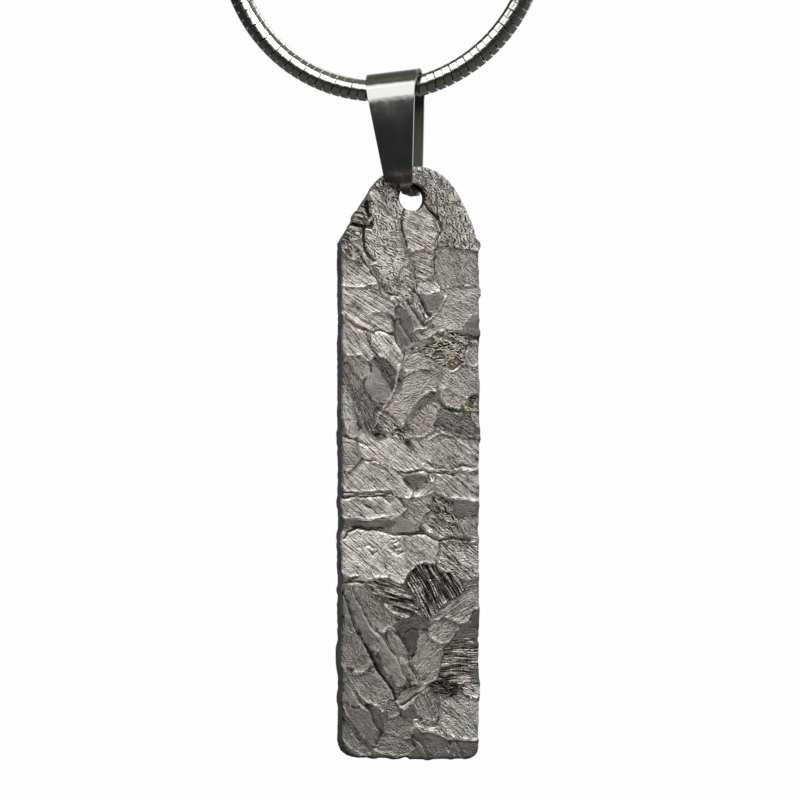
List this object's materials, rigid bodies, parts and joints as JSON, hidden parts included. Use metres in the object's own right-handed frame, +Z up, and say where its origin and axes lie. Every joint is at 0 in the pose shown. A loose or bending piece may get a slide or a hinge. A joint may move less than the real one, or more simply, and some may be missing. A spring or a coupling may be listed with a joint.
{
  "type": "bar pendant on a snake chain",
  "caption": "Flat iron bar with an arched head and a hole, hung by a bent strip bail from a closed snake chain loop.",
  "frame": {"origin": "under the middle of the clasp, at the inside top of the loop, where the necklace lies on the nape", "axes": "+Z up, against the way the pendant hangs; +X to the viewer's right; +Y away from the viewer, across the loop"},
  "size_m": [0.118, 0.005, 0.2219],
  "materials": {
    "bar": "etched iron with grooved plates",
    "bail": "polished steel strip",
    "chain": "polished steel snake links",
    "clasp": "fine brushed steel"
  },
  "bodies": {
    "necklace": {"chain": "chain", "clasp": "clasp"},
    "bail": {"bail": "bail"},
    "bar": {"bar": "bar"}
  },
  "joints": [
    {"name": "bail_swing", "type": "hinge", "parent": "necklace", "child": "bail", "pos_m": [0.00115, 0, -0.17054], "axis": [0.9949, 0, 0.1009], "range_deg": [-90, 90]},
    {"name": "bar_swing", "type": "hinge", "parent": "bail", "child": "bar", "pos_m": [0.00211, 0, -0.17841], "axis": [0.309, -0.9511, 0], "range_deg": [-90, 90]}
  ]
}
